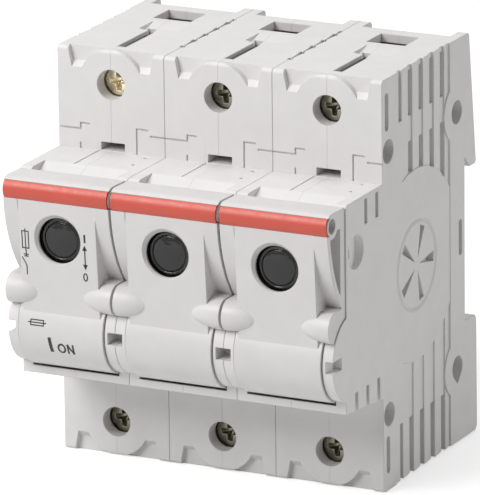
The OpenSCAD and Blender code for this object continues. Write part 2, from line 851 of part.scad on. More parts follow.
// Fixed contact from the lower terminal to the jaws that grip the moving blade.
module lower_contact() {
    color(copper_colour) {
        slab(-bar_w / 2, bar_w / 2) polygon([
            [-bar_depth, -half_h + roof_t + 1.5], [-bar_depth + bar_t, -half_h + roof_t + 1.5],
            [-bar_depth + bar_t, jaw_z], [jaw_y, jaw_z],
            [jaw_y, jaw_z - bar_t], [-bar_depth, jaw_z - bar_t]
        ]);
        for (k = [-1, 1])
            translate([k * jaw_half, 0, 0]) slab(-jaw_t / 2, jaw_t / 2) polygon([
                [jaw_y + 0.1, jaw_z - bar_t], [jaw_y + 0.1, jaw_z], [jaw_y - 6, jaw_z + 4],
                [jaw_y - 10.5, jaw_z + 2.5], [jaw_y - 6, jaw_z - 1]
            ]);
    }
}

// Clamp that a screw draws to the front, round bar and conductor.
module clamp_frame() {
    y0 = clamp_front_back - clamp_front_t;
    y1 = clamp_back_front + clamp_back_t;
    color(steel_colour) difference() {
        box([-clamp_half, y0, screw_z - clamp_h / 2], [clamp_half, y1, screw_z + clamp_h / 2]);
        box([-clamp_half + clamp_side_t, clamp_front_back, screw_z - clamp_h],
            [clamp_half - clamp_side_t, clamp_back_front, screw_z + clamp_h]);
        bar_y(0, screw_z, screw_r + run_gap, y0 - 1, clamp_front_back + 1);
    }
}

// Terminal screw with a crossed drive.
module terminal_screw() {
    color(steel_colour) difference() {
        union() {
            bar_y(0, screw_z, head_r, head_front, head_back);
            bar_y(0, screw_z, screw_r, head_back - eps, screw_tip);
        }
        box([-3.2, head_front - 1, screw_z - 0.5], [3.2, head_front + 1.4, screw_z + 0.5]);
        box([-0.5, head_front - 1, screw_z - 2.2], [0.5, head_front + 1.4, screw_z + 2.2]);
    }
}

// Sliding clip that holds the lower edge of the rail.
module rail_clip() {
    color(clip_colour) difference() {
        slab(-clip_half, clip_half) polygon([
            [clip_depth, clip_low], [clip_depth, clip_top - 0.6],
            [clip_depth + 0.9, clip_top], [clip_back, clip_top - 1.8],
            [clip_back, clip_low]
        ]);
        box([-1.7, 0, window_low], [1.7, over, window_top]);
        box([-1.5, 0, clip_low + 1.2], [1.5, over, clip_low + 2.2]);
    }
}

// Points of the helix that the spring wire follows.
function helix(z0, z1, steps) = [
    for (i = [0:steps]) let (a = 360 * spring_turns * i / steps)
        [spring_r * cos(a), spring_r * sin(a), z0 + (z1 - z0) * i / steps]
];

// Coil spring of the rail clip.
module clip_spring() {
    sides = 6;
    steps = spring_turns * 12;
    z0 = peg_z + spring_wire_r + 0.05;
    z1 = window_top - spring_wire_r - 0.05;
    path = helix(z0, z1, steps);
    points = [
        for (i = [0:steps]) for (j = [0:sides - 1]) let (
            a = 360 * spring_turns * i / steps,
            b = 360 * j / sides,
            out = spring_wire_r * cos(b)
        ) path[i] + [out * cos(a), out * sin(a), spring_wire_r * sin(b)]
    ];
    faces = concat(
        [[for (j = [0:sides - 1]) j]],
        [[for (j = [sides - 1:-1:0]) steps * sides + j]],
        [for (i = [0:steps - 1]) for (j = [0:sides - 1]) [
            i * sides + j, (i + 1) * sides + j,
            (i + 1) * sides + (j + 1) % sides, i * sides + (j + 1) % sides
        ]]
    );
    color(steel_colour) translate([0, clip_depth + clip_t / 2, 0])
        polyhedron(points, faces, convexity = 4);
}

// The four hollow rivets that hold a pole's halves together.
module rivets() {
    color(steel_colour) for (s = rivet_spots) difference() {
        union() {
            bar_x(s, rivet_r, -half_w + recess_depth - 0.6, half_w - recess_depth + 0.6);
            for (k = [0, 1]) mirror([k, 0, 0])
                bar_x(s, rivet_r + 0.9, half_w - recess_depth, half_w - recess_depth + 0.6);
        }
        bar_x(s, rivet_r - 0.5, -half_w, half_w);
    }
}

// Rod through the rounded edges of all carriers.
module tie_rod() {
    reach = poles * pole_pitch / 2 - 3.5;
    color(steel_colour) bar_x(bead, tie_r, -reach, reach);
}

for (p = [1:poles]) {
    at_pole(p) left_shell();
    at_pole(p) right_shell();
    at_pole(p) fuse_carrier();
    at_pole(p) colour_band();
    at_pole(p) sight_glass();
    at_pole(p) knife_contact();
    at_pole(p) upper_contact();
    at_pole(p) lower_contact();
    at_pole(p) clamp_frame();
    at_pole(p) mirror([0, 0, 1]) clamp_frame();
    at_pole(p) terminal_screw();
    at_pole(p) mirror([0, 0, 1]) terminal_screw();
    at_pole(p) rail_clip();
    at_pole(p) clip_spring();
    at_pole(p) rivets();
}
tie_rod();
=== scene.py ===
"""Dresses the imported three-pole fuse switch disconnector: moulded covers, printed marks,
terminal screws, rolled rivets, clip springs, sight glasses and a plain studio stage."""

import json
import math

import bmesh
import bpy
from bpy.props import FloatProperty, FloatVectorProperty, IntProperty, PointerProperty
from mathutils import Matrix, Vector

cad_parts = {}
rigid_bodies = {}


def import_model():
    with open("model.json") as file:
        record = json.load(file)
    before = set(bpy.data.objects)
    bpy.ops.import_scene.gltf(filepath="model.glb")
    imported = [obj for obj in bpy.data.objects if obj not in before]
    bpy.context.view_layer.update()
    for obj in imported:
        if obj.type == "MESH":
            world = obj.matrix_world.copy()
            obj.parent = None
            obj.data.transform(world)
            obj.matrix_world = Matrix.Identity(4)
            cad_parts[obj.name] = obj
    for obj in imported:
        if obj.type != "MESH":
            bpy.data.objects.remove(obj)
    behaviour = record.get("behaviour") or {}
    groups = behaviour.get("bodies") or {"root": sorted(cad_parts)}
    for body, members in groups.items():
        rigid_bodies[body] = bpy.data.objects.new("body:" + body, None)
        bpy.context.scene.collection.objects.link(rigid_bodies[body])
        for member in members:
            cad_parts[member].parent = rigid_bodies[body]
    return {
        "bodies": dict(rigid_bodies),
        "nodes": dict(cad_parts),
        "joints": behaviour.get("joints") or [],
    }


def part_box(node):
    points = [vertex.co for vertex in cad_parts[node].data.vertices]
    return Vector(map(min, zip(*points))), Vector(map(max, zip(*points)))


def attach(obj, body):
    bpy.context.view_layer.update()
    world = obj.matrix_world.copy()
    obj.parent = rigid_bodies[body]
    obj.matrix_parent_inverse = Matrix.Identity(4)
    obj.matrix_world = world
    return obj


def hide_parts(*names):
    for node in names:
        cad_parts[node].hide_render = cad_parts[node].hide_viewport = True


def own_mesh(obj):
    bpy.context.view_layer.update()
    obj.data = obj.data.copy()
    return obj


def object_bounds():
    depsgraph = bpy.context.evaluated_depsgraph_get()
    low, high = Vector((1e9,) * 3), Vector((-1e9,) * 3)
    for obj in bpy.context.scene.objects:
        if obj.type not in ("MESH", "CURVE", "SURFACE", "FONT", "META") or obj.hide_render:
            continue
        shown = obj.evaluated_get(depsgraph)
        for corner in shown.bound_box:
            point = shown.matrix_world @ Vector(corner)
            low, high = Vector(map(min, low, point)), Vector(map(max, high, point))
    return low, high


bl_info = {
    "name": "Fuse Switch Disconnector Dressing",
    "version": (1, 0, 0),
    "blender": (4, 5, 0),
    "location": "View3D > Sidebar > Disconnector",
    "description": "Moulded, printed and turned finishes for a rail-mounted fuse switch disconnector",
    "category": "Object",
}

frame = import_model()
CAD_BOUNDS = [list(corner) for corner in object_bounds()]
NODES = frame["nodes"]
BODIES = frame["bodies"]
JOINTS = {joint["name"]: joint for joint in frame["joints"]}

MM = 0.001
POLES = sorted(int(name.rsplit("_", 1)[1]) for name in NODES if name.startswith("fuse_carrier_"))
SIDES = ("upper", "lower")
PIVOT = Vector(JOINTS["carrier_turn"]["pos_m"])


def node_box(name):
    """Lowest corner, highest corner and middle of a frame node, in metres."""
    low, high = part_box(name)
    return low, high, (low + high) / 2


# ---------------------------------------------------------------- mesh helpers


def add_piece(name, bm, body, material, smooth=True, parent=None):
    """Turns a bmesh into a piece that rides on a body of the frame."""
    mesh = bpy.data.meshes.new(name)
    bm.to_mesh(mesh)
    bm.free()
    for polygon in mesh.polygons:
        polygon.use_smooth = smooth
    mesh.materials.append(material)
    piece = bpy.data.objects.new(name, mesh)
    bpy.context.scene.collection.objects.link(piece)
    if smooth:
        mesh.set_sharp_from_angle(angle=math.radians(38))
    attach(piece, body)
    return piece


def lathe(bm, profile, centre, axis, segments=48, reference=None):
    """Spins (radius, height) points round an axis through centre. Ends on the axis are closed."""
    axis = Vector(axis).normalized()
    side = Vector(reference or (1, 0, 0))
    side = (side - axis * side.dot(axis)).normalized()
    other = axis.cross(side)
    rings = []
    for radius, height in profile:
        base = Vector(centre) + axis * height
        if radius < 1e-7:
            rings.append([bm.verts.new(base)])
            continue
        ring = []
        for i in range(segments):
            turn = 2 * math.pi * i / segments
            ring.append(
                bm.verts.new(base + (side * math.cos(turn) + other * math.sin(turn)) * radius)
            )
        rings.append(ring)
    for lower, upper in zip(rings, rings[1:]):
        for i in range(segments):
            j = (i + 1) % segments
            if len(lower) == 1 and len(upper) == 1:
                continue
            if len(lower) == 1:
                bm.faces.new((lower[0], upper[i], upper[j]))
            elif len(upper) == 1:
                bm.faces.new((lower[i], upper[0], lower[j]))
            else:
                bm.faces.new((lower[i], upper[i], upper[j], lower[j]))
    return rings


# ------------------------------------------------------------- material helpers


def new_material(name):
    """An empty node material with its shader and output."""
    material = bpy.data.materials.new(name)
    material.use_nodes = True
    tree = material.node_tree
    tree.nodes.clear()
    output = tree.nodes.new("ShaderNodeOutputMaterial")
    shader = tree.nodes.new("ShaderNodeBsdfPrincipled")
    tree.links.new(shader.outputs["BSDF"], output.inputs["Surface"])
    return material, tree, shader


def object_place(tree):
    """Object coordinates, which stay with the piece in every pose."""
    return tree.nodes.new("ShaderNodeTexCoord").outputs["Object"]


def noise(tree, place, scale, detail=3.0, roughness=0.55):
    """A noise texture's value at a place."""
    node = tree.nodes.new("ShaderNodeTexNoise")
    node.inputs["Scale"].default_value = scale
    node.inputs["Detail"].default_value = detail
    node.inputs["Roughness"].default_value = roughness
    tree.links.new(place, node.inputs["Vector"])
    return node.outputs["Fac"]


def spread(tree, value, low, high, into):
    """Maps a 0 to 1 value to a range and links it to a socket."""
    node = tree.nodes.new("ShaderNodeMapRange")
    node.inputs["From Min"].default_value = 0.3
    node.inputs["From Max"].default_value = 0.7
    node.inputs["To Min"].default_value = low
    node.inputs["To Max"].default_value = high
    tree.links.new(value, node.inputs["Value"])
    tree.links.new(node.outputs["Result"], into)
    return node


def tint(tree, value, first, second, into):
    """Blends two colours by a value and links the result to a socket."""
    ramp = tree.nodes.new("ShaderNodeValToRGB")
    ramp.color_ramp.elements[0].position = 0.3
    ramp.color_ramp.elements[1].position = 0.7
    ramp.color_ramp.elements[0].color = (*first, 1)
    ramp.color_ramp.elements[1].color = (*second, 1)
    tree.links.new(value, ramp.inputs["Fac"])
    tree.links.new(ramp.outputs["Color"], into)
    return ramp


def shade(colour, factor):
    """A colour made lighter or darker."""
    return tuple(min(1.0, channel * factor) for channel in colour)


def soft_edge(tree, radius):
    """A normal that rounds sharp moulded edges by a radius."""
    node = tree.nodes.new("ShaderNodeBevel")
    node.samples = 4
    node.inputs["Radius"].default_value = radius
    return node.outputs["Normal"]


def bump(tree, height, distance, strength, normal, shader):
    """Adds a fine relief to a shader."""
    node = tree.nodes.new("ShaderNodeBump")
    node.inputs["Strength"].default_value = strength
    node.inputs["Distance"].default_value = distance
    tree.links.new(height, node.inputs["Height"])
    if normal:
        tree.links.new(normal, node.inputs["Normal"])
    tree.links.new(node.outputs["Normal"], shader.inputs["Normal"])


def moulded_plastic(name, colour, roughness, grain, edge):
    """Spark-eroded thermoset: faint mottling, fine grain and softly rounded edges."""
    material, tree, shader = new_material(name)
    place = object_place(tree)
    mottling = noise(tree, place, 160, 4)
    tint(tree, mottling, shade(colour, 0.975), shade(colour, 1.02), shader.inputs["Base Color"])
    sheen = noise(tree, place, 900, 2)
    spread(tree, sheen, roughness - 0.06, roughness + 0.06, shader.inputs["Roughness"])
    shader.inputs["IOR"].default_value = 1.5
    fine = noise(tree, place, 5200, 2, 0.6)
    bump(tree, fine, grain, 0.35, soft_edge(tree, edge), shader)
    return material


def plated_steel(name, colour, roughness, streak=(1, 1, 1)):
    """Zinc-plated steel with faint drawn streaks and a slightly uneven passivated tone."""
    material, tree, shader = new_material(name)
    place = object_place(tree)
    stretch = tree.nodes.new("ShaderNodeMapping")
    stretch.inputs["Scale"].default_value = streak
    tree.links.new(place, stretch.inputs["Vector"])
    cloud = noise(tree, place, 420, 5)
    tint(tree, cloud, shade(colour, 0.82), shade(colour, 1.1), shader.inputs["Base Color"])
    lines = noise(tree, stretch.outputs["Vector"], 2400, 3)
    spread(tree, lines, roughness - 0.08, roughness + 0.1, shader.inputs["Roughness"])
    shader.inputs["Metallic"].default_value = 1.0
    bump(tree, lines, 0.00002, 0.4, soft_edge(tree, 0.00012), shader)
    return material


def shade_tinted_glass(name, colour):
    """Transparent plastic tinted near black as painted shade for the dim hole behind it, with a smooth
    polished skin.
    """
    material, tree, shader = new_material(name)
    place = object_place(tree)
    wave = noise(tree, place, 180, 1)
    tint(tree, wave, shade(colour, 0.85), shade(colour, 1.15), shader.inputs["Base Color"])
    spread(tree, noise(tree, place, 700, 2), 0.03, 0.08, shader.inputs["Roughness"])
    shader.inputs["IOR"].default_value = 1.49
    shader.inputs["Specular IOR Level"].default_value = 0.17
    shader.inputs["Transmission Weight"].default_value = 0.92
    bump(tree, noise(tree, place, 420, 2), 0.0003, 0.4, None, shader)
    return material


def printed_ink(name, colour):
    """Pad-printed ink with a little unevenness."""
    material, tree, shader = new_material(name)
    place = object_place(tree)
    patch = noise(tree, place, 1500, 4)
    tint(tree, patch, shade(colour, 0.8), shade(colour, 1.5), shader.inputs["Base Color"])
    spread(tree, patch, 0.45, 0.6, shader.inputs["Roughness"])
    return material


# ------------------------------------------------------------------- properties


class DisconnectorFinish(bpy.types.PropertyGroup):
    """Colours and surface sizes of the moulded pieces, and the colour of the printed marks."""

    housing_colour: FloatVectorProperty(
        name="Housing colour", description="Colour of the housing mouldings", subtype="COLOR",
        size=3, min=0, max=1, default=(0.735, 0.72, 0.715),
    )
    cover_colour: FloatVectorProperty(
        name="Cover colour", description="Colour of the fuse carriers", subtype="COLOR",
        size=3, min=0, max=1, default=(0.69, 0.675, 0.668),
    )
    band_colour: FloatVectorProperty(
        name="Band colour", description="Colour of the band along the covers", subtype="COLOR",
        size=3, min=0, max=1, default=(0.60, 0.085, 0.055),
    )
    ink_colour: FloatVectorProperty(
        name="Ink colour", description="Colour of the printed marks", subtype="COLOR",
        size=3, min=0, max=1, default=(0.02, 0.02, 0.023),
    )
    edge_radius: FloatProperty(
        name="Edge radius", description="Radius of the moulded edges", default=0.3 * MM,
        min=0, max=1 * MM, subtype="DISTANCE", unit="LENGTH", precision=5,
    )
    grain_height: FloatProperty(
        name="Grain height", description="Height of the moulded grain", default=0.03 * MM,
        min=0, max=0.2 * MM, subtype="DISTANCE", unit="LENGTH", precision=6,
    )


class DisconnectorScrews(bpy.types.PropertyGroup):
    """Sizes of the terminal screws."""

    pitch: FloatProperty(
        name="Thread pitch", description="Distance between neighbouring thread ridges",
        default=1.0 * MM, min=0.5 * MM, max=2 * MM, subtype="DISTANCE", unit="LENGTH", precision=5,
    )
    thread_depth: FloatProperty(
        name="Thread depth", description="Depth of the thread below the screw's outer radius",
        default=0.55 * MM, min=0.2 * MM, max=1 * MM, subtype="DISTANCE", unit="LENGTH", precision=5,
    )
    steps: IntProperty(
        name="Steps per turn", description="Points of the thread in one turn", default=24,
        min=12, max=64,
    )


class DisconnectorSprings(bpy.types.PropertyGroup):
    """Sizes of the rail clips' coil springs."""

    wire_radius: FloatProperty(
        name="Wire radius", description="Radius of the spring wire", default=0.19 * MM,
        min=0.1 * MM, max=0.25 * MM, subtype="DISTANCE", unit="LENGTH", precision=6,
    )
    turns: IntProperty(
        name="Turns", description="Number of turns, closed ones included", default=9,
        min=5, max=12,
    )


class DisconnectorPrint(bpy.types.PropertyGroup):
    """Sizes of the printed marks."""

    ink_height: FloatProperty(
        name="Ink height", description="Thickness of the printed ink", default=0.03 * MM,
        min=0.01 * MM, max=0.1 * MM, subtype="DISTANCE", unit="LENGTH", precision=6,
    )
    stroke: FloatProperty(
        name="Stroke width", description="Width of the symbols' strokes", default=0.26 * MM,
        min=0.1 * MM, max=0.6 * MM, subtype="DISTANCE", unit="LENGTH", precision=5,
    )


class DisconnectorStage(bpy.types.PropertyGroup):
    """Studio light and camera."""

    azimuth: FloatProperty(
        name="Azimuth", description="Camera angle round the object", subtype="ANGLE",
        default=math.radians(26.28),
    )
    elevation: FloatProperty(
        name="Elevation", description="Camera angle above the horizon", subtype="ANGLE",
        default=math.radians(16.37),
    )
    roll: FloatProperty(
        name="Roll", description="Camera turn about its own axis", subtype="ANGLE",
        default=math.radians(-0.68),
    )
    distance: FloatProperty(
        name="Distance", description="Camera distance", default=1593.59 * MM,
        subtype="DISTANCE", unit="LENGTH",
    )
    focal_px: FloatProperty(
        name="Focal length in pixels", description="Focal length for a frame 495 pixels high",
        default=6890.49,
    )
    aim: FloatVectorProperty(
        name="Aim", description="Where the camera looks, across and up in its own view",
        size=2, default=(-15.12 * MM, -6.78 * MM), subtype="TRANSLATION",
    )
    key_power: FloatProperty(
        name="Key light", description="Power of the large front light", default=8.3,
        min=0, unit="POWER",
    )
    fill_power: FloatProperty(
        name="Fill light", description="Power of the light from behind on the right", default=2.0,
        min=0, unit="POWER",
    )
    top_power: FloatProperty(
        name="Top light", description="Power of the light from above", default=3.0,
        min=0, unit="POWER",
    )
    world_light: FloatProperty(
        name="Room light", description="Strength of the room's light", default=0.16, min=0,
    )


GROUPS = {
    "disconnector_finish": DisconnectorFinish,
    "disconnector_screws": DisconnectorScrews,
    "disconnector_springs": DisconnectorSprings,
    "disconnector_print": DisconnectorPrint,
    "disconnector_stage": DisconnectorStage,
}


# -------------------------------------------------------------------- mouldings


class DISCONNECTOR_OT_mouldings(bpy.types.Operator):
    """Gives the housing halves, fuse carriers, bands and clips their moulded finish"""

    bl_idname = "disconnector.mouldings"
    bl_label = "Finish Mouldings"

    def execute(self, context):
        finish = context.scene.disconnector_finish
        edge = finish.edge_radius
        grain = finish.grain_height
        housing = moulded_plastic("housing plastic", finish.housing_colour, 0.5, grain, edge)
        cover = moulded_plastic("cover plastic", finish.cover_colour, 0.42, grain * 0.7, edge)
        band = moulded_plastic("band plastic", finish.band_colour, 0.38, grain * 0.5, edge * 0.4)
        clip = moulded_plastic("clip plastic", (0.03, 0.031, 0.034), 0.45, grain, edge)
        for pole in POLES:
            for node, material in (
                ("left_shell", housing), ("right_shell", housing), ("fuse_carrier", cover),
                ("colour_band", band), ("rail_clip", clip),
            ):
                set_material(f"{node}_{pole}", material)
        return {"FINISHED"}


def set_material(node, material):
    """Gives a frame node a finish."""
    mesh = NODES[node].data
    mesh.materials.clear()
    mesh.materials.append(material)


class DISCONNECTOR_OT_metalwork(bpy.types.Operator):
    """Gives contacts, clamps, rivets and the tie rod their metal finish"""

    bl_idname = "disconnector.metalwork"
    bl_label = "Finish Metalwork"

    def execute(self, context):
        copper = plated_steel("tinned copper", (0.72, 0.62, 0.48), 0.34, (1, 1, 8))
        steel = plated_steel("zinc-plated steel", (0.62, 0.61, 0.58), 0.34, (1, 8, 1))
        for pole in POLES:
            for node in ("knife_contact", "upper_contact", "lower_contact"):
                set_material(f"{node}_{pole}", copper)
            for side in SIDES:
                set_material(f"{side}_clamp_{pole}", steel)
            set_material(f"rivets_{pole}", steel)
        set_material("tie_rod", steel)
        return {"FINISHED"}


# --------------------------------------------------------------- terminal screws


def thread(bm, centre, axis, outer, depth, pitch, length, steps):
    """A helical ridge round a core, fading out at both ends."""
    axis = Vector(axis)
    side = Vector((1, 0, 0))
    other = axis.cross(side)
    turns = length / pitch
    count = int(turns * steps)
    sections = []
    for i in range(count + 1):
        turn = 2 * math.pi * i / steps
        along = length * i / count
        fade = min(1.0, i / (steps * 0.75), (count - i) / (steps * 0.75))
        crest = outer - depth + depth * fade
        out = side * math.cos(turn) + other * math.sin(turn)
        section = []
        for radius, offset in (
            (outer - depth, -0.42), (crest, -0.09), (crest, 0.09), (outer - depth, 0.42),
        ):
            height = min(max(along + offset * pitch, 0), length)
            section.append(bm.verts.new(Vector(centre) + out * radius + axis * height))
        sections.append(section)
    for first, second in zip(sections, sections[1:]):
        for a, b in ((0, 1), (1, 2), (2, 3)):
            bm.faces.new((first[a], first[b], second[b], second[a]))


def screw_mesh(low, high, middle, screws):
    """Cylinder head with a crossed recess, a plain neck and a threaded shaft."""
    bm = bmesh.new()
    head = (high.x - low.x) / 2
    axis = Vector((0, 1, 0))
    top = Vector((middle.x, low.y, middle.z))
    length = high.y - low.y
    head_height = 3.0 * MM
    outer = 3.0 * MM
    core = outer - screws.thread_depth
    recess = 0.55 * head
    cross_top = cross_points(recess, 0.16 * head)
    count = len(cross_top)
    edge = 0.35 * MM
    rim = [polar_like(point, head - edge) for point in cross_top]
    levels = [
        (cross_points(0.12 * head, 0.10 * head), 2.0 * MM),
        (cross_points(recess * 0.9, 0.14 * head), 0.9 * MM),
        (cross_top, 0.12 * MM),
        (cross_points(recess * 1.05, 0.19 * head), 0.0),
        (rim, 0.0),
        ([polar_like(point, head - edge * 0.3) for point in cross_top], edge * 0.3),
        ([polar_like(point, head) for point in cross_top], edge),
        ([polar_like(point, head) for point in cross_top], head_height - edge),
        ([polar_like(point, head - edge) for point in cross_top], head_height),
        ([polar_like(point, core) for point in cross_top], head_height),
        ([polar_like(point, core) for point in cross_top], length - edge),
        ([polar_like(point, core - edge) for point in cross_top], length),
    ]
    rings = []
    for points, height in levels:
        rings.append(
            [bm.verts.new(top + Vector((x, 0, z)) + axis * height) for x, z in points]
        )
    bm.faces.new(rings[0])
    bm.faces.new(rings[-1])
    for lower, upper in zip(rings, rings[1:]):
        for i in range(count):
            j = (i + 1) % count
            bm.faces.new((lower[i], lower[j], upper[j], upper[i]))
    thread(
        bm, top + axis * (head_height + 0.4 * MM), axis, outer, screws.thread_depth,
        screws.pitch, length - head_height - 0.6 * MM, screws.steps,
    )
    bmesh.ops.recalc_face_normals(bm, faces=bm.faces)
    return bm


def cross_points(reach, half_width):
    """Outline of a crossed recess, with extra points on its arms."""
    points = []
    for quarter in range(4):
        turn = quarter * math.pi / 2
        c, s = math.cos(turn), math.sin(turn)
        for x, z in (
            (half_width, half_width), (reach * 0.6, half_width), (reach, half_width * 0.9),
            (reach * 1.06, 0.0), (reach, -half_width * 0.9), (reach * 0.6, -half_width),
        ):
            points.append((x * c - z * s, x * s + z * c))
    ordered = []
    for quarter in range(4):
        block = points[quarter * 6: quarter * 6 + 6]
        ordered.extend(reversed(block))
    return ordered


def polar_like(point, radius):
    """A point in the same direction at a radius."""
    x, z = point
    size = math.hypot(x, z)
    return x / size * radius, z / size * radius


class DISCONNECTOR_OT_screws(bpy.types.Operator):
    """Turns the six terminal screws, with crossed recesses and rolled threads"""

    bl_idname = "disconnector.screws"
    bl_label = "Make Terminal Screws"

    def execute(self, context):
        screws = context.scene.disconnector_screws
        # One passivated steel in a lit copy and a shaded copy: painted light brightens the first upper
        # screw, and painted shade darkens the other screws deep in their bores.
        painted_lit_steel = plated_steel("passivated steel with painted light", (0.80, 0.72, 0.54), 0.26)
        painted_shade_steel = plated_steel("passivated steel with painted shade", (0.27, 0.26, 0.20), 0.33)
        for pole in POLES:
            for side in SIDES:
                node = f"{side}_screw_{pole}"
                bm = screw_mesh(*node_box(node), screws)
                # Painted light: the first upper screw takes the lit copy, and every other screw takes
                # the painted shade copy.
                finish = painted_lit_steel if node == f"upper_screw_{POLES[0]}" else painted_shade_steel
                piece = add_piece(f"threaded_{node}", bm, f"{node}_body", finish)
                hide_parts(node)
        return {"FINISHED"}


# ----------------------------------------------------------------- clip springs


def coil_mesh(low, high, middle, springs):
    """A wound compression spring with a closed turn at each end."""
    bm = bmesh.new()
    wire = springs.wire_radius
    reach = (high.x - low.x) / 2 - wire
    travel = high.z - low.z - 2 * wire
    closed = 2.1 * wire
    pitch = (travel - 2 * closed) / (springs.turns - 2)
    steps, sides = 24, 8
    rings = []
    for i in range(springs.turns * steps + 1):
        turn = i / steps
        rise = min(turn, 1) * closed + min(max(turn - 1, 0), springs.turns - 2) * pitch
        rise += max(turn - springs.turns + 1, 0) * closed
        out = Vector((math.cos(2 * math.pi * turn), math.sin(2 * math.pi * turn), 0))
        centre = Vector((middle.x, middle.y, low.z + wire + rise)) + out * reach
        rings.append([
            bm.verts.new(centre + (out * math.cos(a) + Vector((0, 0, 1)) * math.sin(a)) * wire)
            for a in (2 * math.pi * j / sides for j in range(sides))
        ])
    for first, second in zip(rings, rings[1:]):
        for j in range(sides):
            k = (j + 1) % sides
            bm.faces.new((first[j], second[j], second[k], first[k]))
    bm.faces.new(rings[0])
    bm.faces.new(rings[-1])
    bmesh.ops.recalc_face_normals(bm, faces=bm.faces)
    return bm


class DISCONNECTOR_OT_springs(bpy.types.Operator):
    """Winds the coil springs of the rail clips"""

    bl_idname = "disconnector.springs"
    bl_label = "Wind Clip Springs"

    def execute(self, context):
        springs = context.scene.disconnector_springs
        wire = plated_steel("spring wire", (0.55, 0.55, 0.54), 0.28)
        for pole in POLES:
            node = f"clip_spring_{pole}"
            low, high, middle = node_box(node)
            bm = coil_mesh(low, high, middle, springs)
            piece = add_piece(f"wound_{node}", bm, "housing", wire)
            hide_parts(node)
            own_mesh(piece)
        return {"FINISHED"}


# ----------------------------------------------------------------- sight glasses


class DISCONNECTOR_OT_glasses(bpy.types.Operator):
    """Gives the sight holes a lens tinted near black as painted shade for the dim hole behind it, with a
    domed face and a groove near its rim
    """

    bl_idname = "disconnector.glasses"
    bl_label = "Make Sight Glasses"

    def execute(self, context):
        # Painted shade: the lens colour is a near-black tint that stands in for the shade inside the
        # sight hole.
        glass = shade_tinted_glass("glass tinted with painted shade", (0.05, 0.056, 0.052))
        dome_radius = 22 * MM
        groove_start, groove_width, groove_depth = 3.9 * MM, 0.8 * MM, 0.2 * MM
        for pole in POLES:
            node = f"sight_glass_{pole}"
            low, high, middle = node_box(node)
            radius = (high.x - low.x) / 2
            depth = high.y - low.y
            bm = bmesh.new()
            face = [(0, 0)]
            for i in range(1, 61):
                r = (radius - 0.1 * MM) * i / 60
                height = r * r / (2 * dome_radius)
                share = (r - groove_start) / groove_width
                if 0 < share < 1:
                    height += groove_depth * (1 - math.cos(2 * math.pi * share)) / 2
                face.append((r, height))
            lathe(
                bm, face + [(radius, depth - 0.1 * MM), (radius - 0.1 * MM, depth), (0, depth)],
                (middle.x, low.y, middle.z), (0, 1, 0), 64,
            )
            bmesh.ops.recalc_face_normals(bm, faces=bm.faces)
            piece = add_piece(f"domed_{node}", bm, "carrier", glass)
            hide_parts(node)
        return {"FINISHED"}


# ------------------------------------------------------------------ printed marks


def stroke_bmesh(lines, width, ovals=(), solids=()):
    """Flat strokes between points in X and Z, oval outlines (x, z, half width, half height)
    and filled shapes."""
    bm = bmesh.new()
    for (x0, z0), (x1, z1) in lines:
        along = Vector((x1 - x0, 0, z1 - z0)).normalized() * width / 2
        across = Vector((-along.z, 0, along.x))
        start, end = Vector((x0, 0, z0)) - along, Vector((x1, 0, z1)) + along
        corners = (start - across, end - across, end + across, start + across)
        bm.faces.new([bm.verts.new(corner) for corner in corners])
    for x, z, half_x, half_z in ovals:
        inner, outer = [], []
        for i in range(32):
            c, s = math.cos(math.pi * i / 16), math.sin(math.pi * i / 16)
            for ring, grow in ((inner, -width / 2), (outer, width / 2)):
                ring.append(bm.verts.new((x + (half_x + grow) * c, 0, z + (half_z + grow) * s)))
        for i in range(32):
            j = (i + 1) % 32
            bm.faces.new((inner[i], outer[i], outer[j], inner[j]))
    for solid in solids:
        bm.faces.new([bm.verts.new((x, 0, z)) for x, z in solid])
    return bm


def slice_rows(bm, step):
    """Cuts flat marks into narrow rows, so that they bend well round a drum."""
    heights = [v.co.z for v in bm.verts]
    z = min(heights) + step
    while z < max(heights):
        geometry = bm.verts[:] + bm.edges[:] + bm.faces[:]
        bmesh.ops.bisect_plane(bm, geom=geometry, plane_co=(0, 0, z), plane_no=(0, 0, 1))
        z += step


def lay_on_face(bm, x, z, face, height):
    """Lays a flat mark on the tilted front face."""
    for vert in bm.verts:
        place_z = z + vert.co.z
        vert.co = Vector((x + vert.co.x, face(place_z) - height, place_z))


def lay_on_drum(bm, x, z, radius, height):
    """Wraps a flat mark round the drum."""
    start = math.asin((z - PIVOT.z) / radius)
    for vert in bm.verts:
        turn = start + vert.co.z / radius
        reach = radius + height
        vert.co = Vector(
            (x + vert.co.x, PIVOT.y - reach * math.cos(turn), PIVOT.z + reach * math.sin(turn))
        )


